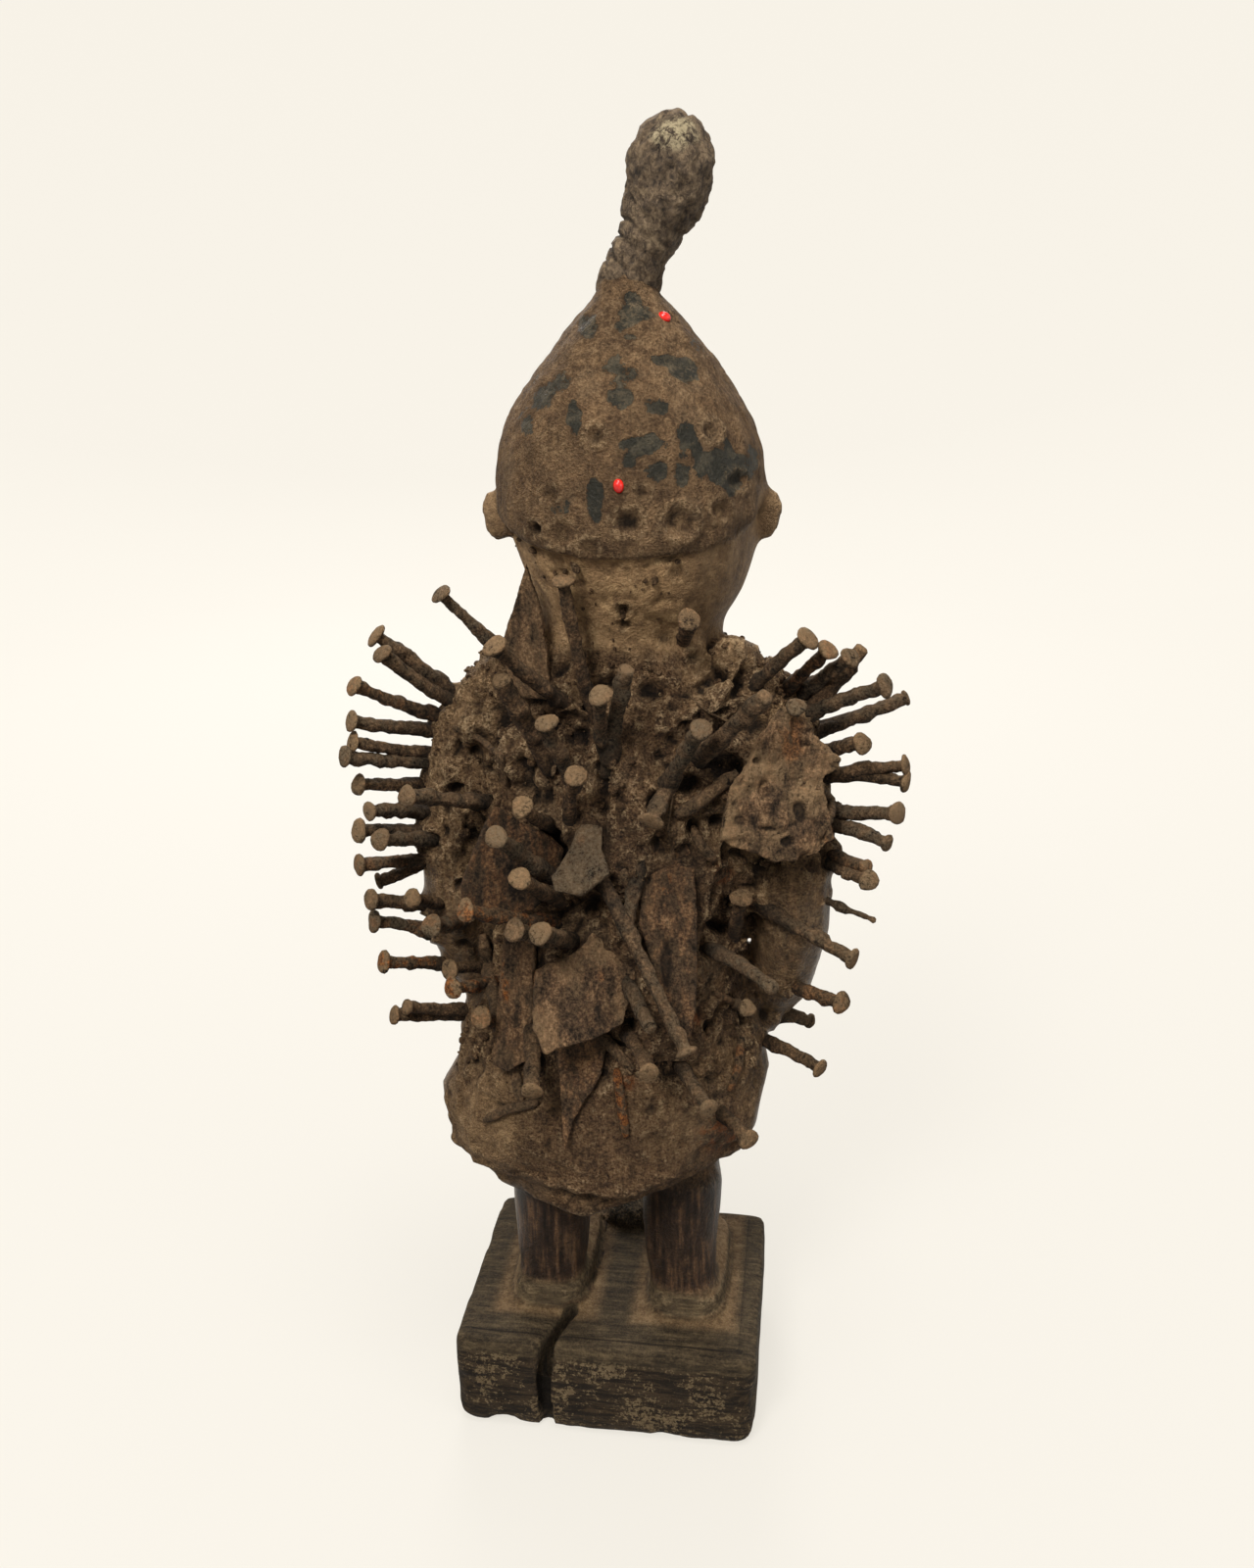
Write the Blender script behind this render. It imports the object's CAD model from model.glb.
"""The looks of the standing power figure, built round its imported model, in metres."""
import math
from itertools import product

import bmesh
import bpy
import numpy as np
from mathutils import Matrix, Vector
from mathutils.bvhtree import BVHTree


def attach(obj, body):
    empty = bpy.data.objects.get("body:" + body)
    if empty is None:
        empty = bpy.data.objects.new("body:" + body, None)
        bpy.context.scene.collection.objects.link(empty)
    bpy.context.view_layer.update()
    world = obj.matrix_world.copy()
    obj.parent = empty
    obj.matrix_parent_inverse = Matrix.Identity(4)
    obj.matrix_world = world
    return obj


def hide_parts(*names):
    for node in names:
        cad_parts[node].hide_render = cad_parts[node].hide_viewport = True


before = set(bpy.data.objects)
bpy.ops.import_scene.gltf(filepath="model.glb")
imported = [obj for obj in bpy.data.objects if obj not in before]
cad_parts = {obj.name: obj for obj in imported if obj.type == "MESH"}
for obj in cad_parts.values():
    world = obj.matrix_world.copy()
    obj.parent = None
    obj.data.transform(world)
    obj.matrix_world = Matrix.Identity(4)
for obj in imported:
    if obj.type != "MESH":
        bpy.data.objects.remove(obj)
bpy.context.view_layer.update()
MM = 0.001

# The figure's own sizes, in millimetres, as the solids have them. Irons end SINK inside the wood
BLOCK_TOP = 52.0
BLOCK_HALF = (75.5, 61.0)
SINK = 14.0
CAP_RIM = 405.0
CAP_TILT = 16.0
CAP_CENTRE = (-5.5, 0.5)
CAP_HALF = 58.0
FIGURE_TOP = 488.0
# Levels above the block where parts begin or end, each as the two ends of a smooth step
BLOCK_END, HIPS, NECK, CHIN, EAR_TOP = (0.7, 2.2), (64, 76), (336, 352), (340, 352), (412, 416)

# The photograph's camera: where it stands in millimetres, its turn and its tilt in degrees, and its focal
# length in pixels
PHOTO_W, PHOTO_H = 1280, 1600
CAMERA_AT = (-84.2, 618.3, 545.8)
CAMERA_TURN = 7.39
CAMERA_TILT = 19.4
FOCAL_PX = 1450.0

# How fine each skin is, in millimetres, how often it is smoothed, and how many sides a nail has
CARVING_GRAIN, CARVING_PASSES = 2.02, 46
PLATE_GRAIN, PLATE_PASSES = 0.9, 2
FINIAL_GRAIN, FINIAL_PASSES = 0.9, 60
NAIL_SIDES = 16
# The crust round the finial's foot, the mound between the toes, how far the seat's lower edge is lifted
COLLAR = 14.8
MOUND_AT, MOUND_HALF = (-2.0, -49.5, 52.0), (17.0, 12.0, 10.5)
SEAT_LIFT = 7.0
# How far the incised line is from the block's edge, and a distance at which no line shows. The feet, as
# their middles across, their middle along and half sizes. A finger's and a toe's width
LINE_INSET = 9.0
NO_LINE = 9.0
FOOT_X, FOOT_Y, FOOT_HALF = (33.5, -37.0), -10.0, (20.0, 41.0)
FINGER, TOE = 6.2, 7.4
# The split in the near face as levels and places across, and the thin tip of the crack on the block's top
FACE_CRACK = ((0.0, 30.0, 52.0), (29.0, 30.0, 27.0))
CRACK_TIP = ((20.0, 33.0), (12.5, 12.2), (10.6, -9.8), (12.1, -29.3), (12.5, -48.0))
# The finial: the space between its folds, and its straw patch in the photograph as middle and half size
FOLD_STEP = 8.5
STRAW_AT, STRAW_HALF = (690, 136), (24, 17)
# A seed's half size
SEED_HALF = (2.8, 2.1, 2.1)

# Places in the photograph, in pixels
# Bare slate-grey wood on the cap as left, top, right, bottom and how bare
SLATE_PATCHES = (
    (662, 357, 692, 378, 1.0), (676, 366, 712, 390, 1.0), (576, 394, 597, 454, 1.0),
    (608, 366, 666, 394, 0.62), (618, 396, 646, 428, 0.85), (652, 405, 684, 428, 0.9),
    (632, 440, 679, 463, 0.95), (688, 424, 714, 454, 0.75), (710, 450, 760, 504, 1.05),
    (595, 477, 615, 524, 1.0), (688, 466, 710, 503, 0.8), (544, 382, 566, 421, 0.66),
    (564, 376, 586, 406, 0.6), (590, 320, 610, 346, 0.65), (624, 303, 660, 342, 0.85),
    (634, 457, 648, 478, 0.85), (662, 471, 682, 492, 0.8), (754, 440, 778, 486, 0.62),
    (528, 414, 546, 458, 0.6), (560, 500, 590, 530, 0.5), (700, 330, 730, 360, 0.5),
)
# Dents and holes as middle, radius, depth in millimetres. From DEEP_DENT on they are holes with no pale rim
DEEP_DENT = 3
DENTS = (
    (641, 533, 15, 2.4), (695, 532, 17, 2.4), (607, 444, 11, 1.7), (727, 439, 11, 1.6),
    (754, 490, 11, 1.7), (546, 540, 8, 3.6), (635, 624, 8, 2.2), (636, 638, 6, 2.0), (561, 505, 10, 1.2),
    (655, 503, 9, 1.0), (600, 560, 11, 1.4), (736, 520, 12, 1.4), (502, 783, 7, 2.4), (460, 770, 6, 2.0),
    (572, 545, 14, 1.3), (563, 450, 10, 0.8), (640, 585, 8, 1.0), (690, 585, 9, 1.1),
)
# Dark cavities between the irons as middle, half width, half height, depth in millimetres
PITS = (
    (500, 783, 8, 5, 5), (466, 806, 12, 4, 4), (550, 815, 16, 12, 5), (557, 867, 18, 26, 6),
    (667, 818, 12, 12, 7), (703, 802, 14, 14, 6), (665, 705, 22, 15, 5), (750, 713, 10, 10, 5),
    (623, 691, 6, 8, 4), (656, 893, 6, 14, 7), (640, 933, 5, 11, 6), (736, 946, 14, 9, 7),
    (722, 968, 7, 13, 6), (498, 1047, 9, 10, 5), (548, 1085, 9, 18, 7), (575, 972, 15, 6, 5),
    (546, 1120, 9, 10, 4), (627, 1068, 15, 6, 5), (592, 930, 24, 12, 3), (624, 1000, 7, 24, 5),
    (710, 847, 8, 9, 5), (850, 793, 10, 8, 5), (596, 745, 7, 10, 3), (486, 770, 9, 7, 4),
    (585, 1100, 10, 22, 4), (672, 1085, 12, 12, 4), (760, 985, 9, 8, 4), (470, 905, 9, 8, 4),
    (474, 965, 9, 7, 4), (700, 745, 8, 8, 4),
)
# Rusty stains as middle and radius
RUSTY_SPOTS = ((735, 1155, 30), (640, 1105, 12), (740, 892, 16), (712, 1040, 10))
# Paler tan crust as middle, radius and share
TAN_SPOTS = (
    (496, 1145, 62, 1.0), (680, 1150, 50, 0.4), (545, 760, 34, 0.6), (680, 800, 30, 0.4),
    (600, 700, 40, 0.5), (735, 678, 48, 0.9), (757, 855, 46, 0.9), (740, 1080, 40, 0.4),
    (455, 850, 24, 0.5),
)
# Thick lumps of crust, written like the cavities
BULKS = (
    (700, 680, 46, 26, 5), (748, 672, 26, 24, 4), (560, 655, 30, 26, 3), (486, 745, 26, 22, 3),
    (596, 770, 22, 26, 2), (720, 880, 26, 22, 3), (655, 1000, 10, 16, 4), (510, 1135, 14, 6, 3),
    (812, 800, 20, 22, 2), (700, 1125, 30, 18, 2),
)
# Low ropes of crust under the buttocks: left, top and right end, slope, space between them and how many
ROPES = (498, 1150, 660, 0.5, 10, 4)
# Bent rods and fibres that lie on the crust: half thickness, height above it and how orange they are,
# then the places that they run through
ROD_STEP, ROD_SIDES = 1.2, 12
RODS = (
    (2.6, 2.0, 0.1, (530, 1052), (526, 1080), (529, 1105), (534, 1124)),
    (2.3, 2.2, 0.1, (498, 1142), (518, 1134), (540, 1129), (553, 1126)),
    (3.2, 1.8, 0.1, (490, 952), (500, 985), (506, 1020), (512, 1050)),
    (2.4, 2.2, 0.1, (637, 890), (645, 915), (653, 940), (648, 968)),
    (1.9, 2.5, 0.1, (830, 802), (843, 815), (843, 836), (833, 853), (818, 867), (806, 872)),
    (3.1, 2.5, 0.1, (690, 829), (715, 818), (740, 801), (757, 788)),
    (2.4, 2.0, 0.1, (704, 846), (715, 862), (730, 874)),
    (2.3, 1.8, 0.9, (629, 1090), (634, 1122), (640, 1158)),
    (1.6, 2.2, 0.2, (726, 1010), (745, 1022), (764, 1031), (770, 1022)),
    (0.6, 1.6, 0.0, (692, 786), (684, 815), (682, 845), (687, 872)),
    (0.6, 1.5, 0.0, (706, 712), (722, 726), (741, 735), (760, 730)),
    (0.7, 1.6, 0.0, (556, 884), (588, 903), (618, 912), (640, 905)),
    (1.5, 1.8, 0.1, (466, 742), (488, 752), (512, 770), (520, 800)),
    (2.0, 1.8, 0.5, (742, 1112), (752, 1090), (757, 1060)),
    (2.8, 2.0, 0.1, (612, 1052), (630, 1075), (646, 1092)),
)

# Lumps of crust: name, how many, least and greatest size in millimetres, fineness, seed and how long
CLODS = (
    ("crust_clods", 450, (0.9, 3.6), 2, 21, 1.0),
    ("crust_grit", 1300, (0.5, 1.2), 1, 22, 1.0),
    ("crust_shards", 110, (1.0, 2.4), 2, 23, 2.0),
)
# Rust stripes on the blades: blade, middle, half width and half height in pixels
BLADE_RUST = (
    ("wedge", 680, 912, 6, 20), ("wedge", 713, 968, 5, 30), ("spear", 556, 1120, 6, 60),
    ("lumpy", 748, 888, 18, 12), ("plank", 516, 1000, 4, 30), ("flap", 503, 640, 5, 30),
)
# Each blade's roughness, then its shares of dust, brown and grey and how much paler it is
BLADES = {
    "left": (0.7, 0.1, 0.3, 0.0, -0.3),
    "flared": (0.7, 0.3, 0.0, 0.6, -0.15),
    "square": (1.0, 0.7, 0.1, 0.0, 0.15),
    "spear": (0.7, 0.2, 0.2, 0.0, 0.1),
    "plank": (1.0, 0.3, 0.15, 0.0, 0.0),
    "wedge": (1.1, 0.15, 0.2, 0.0, -0.15),
    "lumpy": (2.4, 1.0, 0.1, 0.0, 0.2),
    "flap": (0.7, 0.3, 0.1, 0.0, 0.0),
}
# Holes and dark hollows in the blades: blade, middle, half width, half height in pixels and share
BLADE_HOLES = (
    ("lumpy", 802, 859, 9, 6, 1.0), ("lumpy", 817, 827, 8, 14, 1.0),
    ("lumpy", 756, 838, 8, 6, 0.6), ("lumpy", 783, 846, 14, 3, 0.7),
    ("wedge", 680, 985, 7, 36, 0.9), ("square", 610, 1035, 26, 24, 0.5),
    ("left", 520, 900, 26, 16, 0.4), ("plank", 547, 1072, 6, 22, 0.8),
    ("wedge", 690, 900, 10, 26, 0.4),
)

# The half diagonals that the flat tops of headed nails have, and the head's radius for each
HEADED = (((3.0, 3.95), 4.1), ((4.3, 4.7), 5.1))
SHANK = 2.9

# Nails that are too small, bent or crowded to be solids of their own: bearing and level of the seat,
# bearing and rise of the nail, how far it stands out, its shank and head radius and how orange it is
MORE_NAILS = (
    (-60, 160, -9, 34, 34, 2.8, 5.0, 0.1),
    (-68, 180, -26, 17, 34, 2.8, 5.0, 0.9),
    (-77, 217, -18, 28, 26, 2.4, 4.2, 0.1),
    (-82, 179, -24, 22, 32, 2.8, 4.8, 0.1),
    (72, 173, 22, 22, 22, 2.2, 3.8, 0.1),
    (34, 292, -20, -31, 24, 3.2, 5.2, 0.1),
    (76, 311, 9, 39, 24, 2.6, 4.4, 0.1),
    (12, 196, 24, -7, 36, 3.2, 0, 0.1),
    (39, 152, 27, -5, 34, 2.8, 4.8, 0.1),
    (-36, 170, 11, -25, 36, 3.0, 5.0, 0.1),
)

# Studio, in metres: the floor's colour, the share of it that is lit, its glow near and far, how far far is,
# the world's light and the width of the camera's sensor
FLOOR_COLOUR = (0.94, 0.896, 0.81, 1.0)
FLOOR_LIT = 0.11
FLOOR_GLOW = (0.765, 0.9)
FLOOR_FAR = 2.2
WORLD_GLOW = 0.26
SENSOR = 36
# How far the floor is flat, the reach of its bend, the backdrop's top and how many sides it has
FLOOR_FLAT, FLOOR_BEND, BACKDROP_TOP, BACKDROP_SIDES = 1.8, 1.1, 3.6, 64
# What the lamps face, and each lamp's name, place, size and watts
LIT_AT = (0, 0, 0.32)
LAMPS = (
    ("key", (0.5, 1.6, 1.9), 0.7, 52),
    ("fill", (-1.8, 1.0, 1.0), 1.2, 8),
    ("over", (-0.2, 0.5, 2.4), 0.9, 33),
    ("front", (0.4, -1.7, 1.3), 1.0, 24),
)


# Smooth seeded noise over arrays of points


def corner_value(i, j, k, seed):
    """A repeatable number from -1 to 1 for each whole-number corner."""
    n = (i * 374761393 + j * 668265263 + k * 1442695041 + seed * 1274126177) & 0xFFFFFFFF
    n = ((n ^ (n >> 13)) * 1274126177) & 0xFFFFFFFF
    return ((n ^ (n >> 16)) & 0xFFFF) / 32767.5 - 1.0


def soft_noise(p, size, seed=0):
    """Smooth noise from -1 to 1 over points in millimetres, with bumps of about that size."""
    q = p / size
    base = np.floor(q).astype(np.int64)
    f = q - base
    f = f * f * (3 - 2 * f)
    total = np.zeros(len(p))
    for c in product((0, 1), repeat=3):
        share = np.ones(len(p))
        for axis in range(3):
            share = share * (f[:, axis] if c[axis] else 1 - f[:, axis])
        total += share * corner_value(base[:, 0] + c[0], base[:, 1] + c[1], base[:, 2] + c[2], seed)
    return total


def clouds(p, size, seed=0, octaves=3):
    """Noise with finer noise on top of it."""
    total = np.zeros(len(p))
    for o in range(octaves):
        total += soft_noise(p, size / 2 ** o, seed + 17 * o) / 2 ** o
    return total / (2 - 2 ** (1 - octaves))


def ridges(p, size, seed=0):
    """Near 1 on thin winding lines, near 0 between them."""
    return np.clip(1 - 3.2 * np.abs(clouds(p, size, seed, 2)), 0, 1)


def fade(x, low, high):
    """0 below low, 1 above high, smooth between them."""
    t = np.clip((x - low) / (high - low), 0, 1)
    return t * t * (3 - 2 * t)


def fall(x, low, high):
    """1 below low, 0 above high, smooth between them."""
    return 1 - fade(x, low, high)


# Meshes as arrays of points in millimetres and of faces


def arrays_of(shape):
    """The points and faces of a bmesh, which is freed."""
    shape.verts.index_update()
    points = np.array([v.co[:] for v in shape.verts])
    faces = np.array([[v.index for v in f.verts] for f in shape.faces])
    shape.free()
    return points, faces


def read_node(name):
    """A solid's points and triangles, with doubled corners merged."""
    shape = bmesh.new()
    shape.from_mesh(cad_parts[name].data)
    bmesh.ops.remove_doubles(shape, verts=shape.verts, dist=1e-6)
    bmesh.ops.triangulate(shape, faces=shape.faces)
    points, faces = arrays_of(shape)
    return points / MM, faces


def ball(level):
    """A round mesh of radius 1 made of even triangles."""
    shape = bmesh.new()
    bmesh.ops.create_icosphere(shape, subdivisions=level, radius=1)
    return arrays_of(shape)


BALL = {level: ball(level) for level in (1, 2, 3)}


def gather(parts):
    """Several (points, faces) as one mesh."""
    points, faces, start = [], [], 0
    for p, f in parts:
        points.append(p)
        faces.append(np.asarray(f) + start)
        start += len(p)
    return np.concatenate(points), np.concatenate(faces)


def make_mesh(name, points, faces):
    """A smooth mesh in metres whose faces all have as many corners."""
    mesh = bpy.data.meshes.new(name)
    corners = faces.shape[1]
    mesh.vertices.add(len(points))
    mesh.vertices.foreach_set("co", (points * MM).astype(np.float32).ravel())
    mesh.loops.add(faces.size)
    mesh.loops.foreach_set("vertex_index", faces.astype(np.int32).ravel())
    mesh.polygons.add(len(faces))
    mesh.polygons.foreach_set("loop_start", np.arange(0, faces.size, corners, dtype=np.int32))
    mesh.update(calc_edges=True)
    mesh.validate()
    mesh.shade_smooth()
    return mesh


def put(name, data):
    """A new object in the scene."""
    thing = bpy.data.objects.new(name, data)
    bpy.context.scene.collection.objects.link(thing)
    return thing


def place(name, shape, material, slot, *nodes):
    """Makes a piece of the object, from its points, faces and masks, that rides on its one body."""
    points, faces, masks = shape
    mesh = make_mesh(name, points, faces)
    for mask, values in masks.items():
        mesh.attributes.new(mask, "FLOAT", "POINT").data.foreach_set("value", values.astype(np.float32))
    mesh.materials.append(material)
    piece = put(name, mesh)
    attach(piece, "root")
    if nodes:
        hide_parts(*nodes)


def reskin(points, faces, grain):
    """One closed skin of even squares round everything in the mesh."""
    source = put("volume", make_mesh("volume", points, faces))
    skin = source.modifiers.new("skin", "REMESH")
    skin.mode = "VOXEL"
    skin.voxel_size = grain * MM
    bpy.context.view_layer.update()
    made = bpy.data.meshes.new_from_object(source.evaluated_get(bpy.context.evaluated_depsgraph_get()))
    p = np.zeros(len(made.vertices) * 3)
    made.vertices.foreach_get("co", p)
    f = np.zeros(len(made.loops), np.int64)
    made.loops.foreach_get("vertex_index", f)
    bpy.data.objects.remove(source)
    return p.reshape(-1, 3) / MM, f.reshape(-1, 4)


def edges_of(faces):
    """Each edge of a mesh once."""
    pairs = np.concatenate([np.stack([faces[:, a], faces[:, a - 1]], 1) for a in range(faces.shape[1])])
    return np.unique(np.sort(pairs, axis=1), axis=0)


def relax(points, edges, times, pull=0.5):
    """Draws each point towards the middle of its neighbours."""
    n = len(points)
    a, b = edges[:, 0], edges[:, 1]
    degree = np.bincount(a, minlength=n) + np.bincount(b, minlength=n)
    for _ in range(times):
        middle = np.stack([
            np.bincount(a, points[b, k], n) + np.bincount(b, points[a, k], n) for k in range(3)
        ], 1) / degree[:, None]
        points = points + pull * (middle - points)
    return points


def normals_of(points, faces):
    """The outward direction at each point."""
    p = points[faces]
    n = np.cross(p[:, 2] - p[:, 0], p[:, -1] - p[:, 1])
    total = np.stack([
        sum(np.bincount(faces[:, c], n[:, k], len(points)) for c in range(faces.shape[1])) for k in range(3)
    ], 1)
    return total / (np.linalg.norm(total, axis=1)[:, None] + 1e-12)


def unit(v):
    return v / np.linalg.norm(v)


def sides_of(along):
    """Two directions square to that one."""
    hint = np.array([1.0, 0, 0]) if abs(along[1]) > 0.9 else np.array([0, 1.0, 0])
    s = unit(np.cross(hint, along))
    return s, np.cross(along, s)


def wall_between(rings, count):
    """Faces with four corners between rings of that many points."""
    i, j = np.meshgrid(np.arange(rings - 1) * count, np.arange(count), indexing="ij")
    i, j = i.ravel(), j.ravel()
    k = (j + 1) % count
    return np.stack([i + j, i + k, i + count + k, i + count + j], 1)


def tube(centres, radii, count):
    """A closed tube through those centres: radii hold one value for each ring or for each point."""
    centres = np.asarray(centres, float)
    along = np.gradient(centres, axis=0)
    a = np.arange(count) * 2 * math.pi / count
    radii = np.asarray(radii, float)
    radii = np.repeat(radii[:, None], count, 1) if radii.ndim == 1 else radii
    rings = []
    for c, d, r in zip(centres, along, radii):
        s, t = sides_of(unit(d))
        rings.append(c + r[:, None] * (np.cos(a)[:, None] * s + np.sin(a)[:, None] * t))
    points = np.concatenate([*rings, centres[:1], centres[-1:]])
    wall = wall_between(len(centres), count)
    j = np.arange(count)
    k = (j + 1) % count
    last, end = (len(centres) - 1) * count, len(points) - 2
    start_cap = np.stack([k, j, np.full(count, end)], 1)
    end_cap = np.stack([last + j, last + k, np.full(count, end + 1)], 1)
    return points, np.concatenate([wall[:, :3], wall[:, [0, 2, 3]], start_cap, end_cap])


# Where the nails are: read from the solids' flat ends. A nail's end has at least that area in square
# millimetres, that length of nail behind it within that distance of its line, and no other end as near
END_AREA, NAIL_LENGTH, NAIL_REACH, ENDS_APART = 3, 30, 7, 3.5


def flat_faces(points, faces):
    """The mesh's flat faces as rows of (area, direction, middle)."""
    a, b, c = (points[faces[:, k]] for k in range(3))
    n = np.cross(b - a, c - a)
    area = np.linalg.norm(n, axis=1) / 2
    n = n / (2 * area[:, None] + 1e-12)
    middle = (a + b + c) / 3
    level = (middle * n).sum(1)
    found = []
    left = list(np.argsort(-area))
    while left:
        i = left[0]
        same = [j for j in left if n[j] @ n[i] > 0.99995 and abs(level[j] - level[i]) < 0.05]
        weight = area[same]
        found.append((weight.sum(), n[i], (middle[same] * weight[:, None]).sum(0) / weight.sum()))
        left = [j for j in left if j not in same]
    return found


def nail_axes(name):
    """The nails in a node: each one's top, direction, length and its top's half diagonal."""
    points, faces = read_node(name)
    ends = []
    for area, n, middle in flat_faces(points, faces):
        beside = np.linalg.norm(np.cross(points - middle, n), axis=1)
        length = -((points - middle) @ n)[beside < NAIL_REACH].min(initial=0)
        outward = np.hypot(*middle[:2]) - np.hypot(*(middle - n * length)[:2])
        if length > NAIL_LENGTH and area > END_AREA and outward > 0:
            ends.append((length, area, n, middle))
    ends.sort(key=lambda e: -e[0] - e[1] * 0.1)
    wanted = 2 if any(word in name for word in ("pair", "bundle", "fork", "rods")) else 1
    found = []
    for length, area, n, middle in ends:
        if all(np.linalg.norm(middle - f["top"]) > ENDS_APART for f in found) and len(found) < wanted:
            found.append({"top": middle, "along": n, "length": length, "flat": math.sqrt(area / 2)})
    return found


# The photograph's view of points on the object

turn, tilt = math.radians(CAMERA_TURN), math.radians(CAMERA_TILT)
LEVEL = np.array([math.sin(turn), -math.cos(turn), 0])
RIGHT = np.array([-math.cos(turn), -math.sin(turn), 0])
FORWARD = LEVEL * math.cos(tilt) - np.array([0, 0, math.sin(tilt)])
UPWARD = LEVEL * math.sin(tilt) + np.array([0, 0, math.cos(tilt)])


def in_photo(points):
    """The places of points in the photograph, in pixels."""
    d = points - CAMERA_AT
    deep = d @ FORWARD
    return PHOTO_W / 2 + FOCAL_PX * (d @ RIGHT) / deep, PHOTO_H / 2 - FOCAL_PX * (d @ UPWARD) / deep


def away(at, x, y, half_w, half_h=None):
    """How far places in the photograph are from a spot there, in the spot's half sizes."""
    return np.hypot((at[0] - x) / half_w, (at[1] - y) / (half_h or half_w))


def to_camera(points, normals):
    """1 where the surface faces the photograph's camera, 0 where it faces away."""
    d = CAMERA_AT - points
    return fade((d * normals).sum(1) / np.linalg.norm(d, axis=1), 0, 0.25)


def heading(bearing, rise=0):
    """A direction: bearings run from straight behind (0) by the figure's right side (90)."""
    b, r = math.radians(bearing), math.radians(rise)
    return np.array([-math.sin(b) * math.cos(r), math.cos(b) * math.cos(r), math.sin(r)])


# A distance in millimetres that is well outside the figure
OUTSIDE = 400


def seat(tree, bearing, h):
    """Where a level ray along a bearing meets the carving, h above the block."""
    out = heading(bearing)
    start = np.array([0, 0, BLOCK_TOP + h]) + out * OUTSIDE
    return np.array(tree.ray_cast(Vector(start), Vector(-out))[0])


def tree_of(points, faces):
    """What rays and nearest points are looked up in."""
    return BVHTree.FromPolygons(points.tolist(), faces.tolist())


# Materials


def linear(red, green, blue):
    """A colour as shaders take it, from the numbers 0 to 255 that a picture has."""
    share = [c / 255 for c in (red, green, blue)]
    return (*[((c + 0.055) / 1.055) ** 2.4 if c > 0.04 else c / 12.92 for c in share], 1.0)


class Value:
    """What a node of a material puts out, for sums and products in the usual writing."""

    def __init__(self, look, socket):
        self.look, self.socket = look, socket

    def __add__(self, other):
        return self.look.math("ADD", self, other)

    def __sub__(self, other):
        return self.look.math("SUBTRACT", self, other)

    def __rsub__(self, other):
        return self.look.math("SUBTRACT", other, self)

    def __mul__(self, other):
        return self.look.math("MULTIPLY", self, other)


class Looks:
    """A material whose nodes are added one by one. Inputs are plain values or what other nodes put out."""

    def __init__(self, name):
        self.material = bpy.data.materials.new(name)
        self.material.use_nodes = True
        self.tree = self.material.node_tree
        self.shader = self.tree.nodes["Principled BSDF"]
        self.where = self.node("TexCoord", {}, "Object")

    def feed(self, socket, value):
        if isinstance(value, Value):
            self.tree.links.new(value.socket, socket)
        else:
            socket.default_value = value

    def node(self, kind, inputs, output=0, **settings):
        """What a new node with those settings and inputs puts out."""
        node = self.tree.nodes.new("ShaderNode" + kind)
        for name, value in settings.items():
            setattr(node, name, value)
        for name, value in inputs.items():
            self.feed(node.inputs[name], value)
        return Value(self, node.outputs[output])

    def noise(self, size, detail=4.0, roughness=0.6, stretch=(1, 1, 1), bend=0.0):
        """Noise from 0 to 1 with features of about that size in millimetres."""
        where = self.node("Mapping", {"Vector": self.where, "Scale": [1 / s for s in stretch]})
        return self.node("TexNoise", {
            "Vector": where, "Scale": 1 / (size * MM), "Detail": detail, "Roughness": roughness,
            "Distortion": bend,
        })

    def mask(self, name):
        """The value that each point of the mesh has under that name."""
        return self.node("Attribute", {}, "Fac", attribute_name=name)

    def between(self, value, low, high):
        """0 below low, 1 above high. With low above high it is the other way round."""
        low, high, start = (low, high, 0.0) if low < high else (high, low, 1.0)
        limits = {"From Min": low, "From Max": high, "To Min": start, "To Max": 1.0 - start}
        return self.node("MapRange", {"Value": value, **limits}, interpolation_type="SMOOTHSTEP")

    def math(self, kind, a, b):
        return self.node("Math", {0: a, 1: b}, operation=kind)

    def mix(self, share, a, b, blend="MIX"):
        return self.node("Mix", {0: share, 6: a, 7: b}, 2, data_type="RGBA", blend_type=blend)

    def ramp(self, value, *stops):
        """A colour for the value, from stops of (value, red, green, blue)."""
        colour = self.node("ValToRGB", {"Fac": value}, "Color")
        points = colour.socket.node.color_ramp.elements
        while len(points) < len(stops):
            points.new(0.5)
        for point, (level, *rgb) in zip(points, stops):
            point.position = level
            point.color = linear(*rgb)
        return colour

    def bumps(self, height, depth):
        """Fine relief of that depth in millimetres."""
        return self.node("Bump", {"Distance": depth * MM, "Height": height}, "Normal")

    def finish(self, colour, roughness, others):
        """The material, once its shader is fed."""
        for name, value in {"Base Color": colour, "Roughness": roughness, **others}.items():
            self.feed(self.shader.inputs[name], value)
        return self.material


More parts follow.
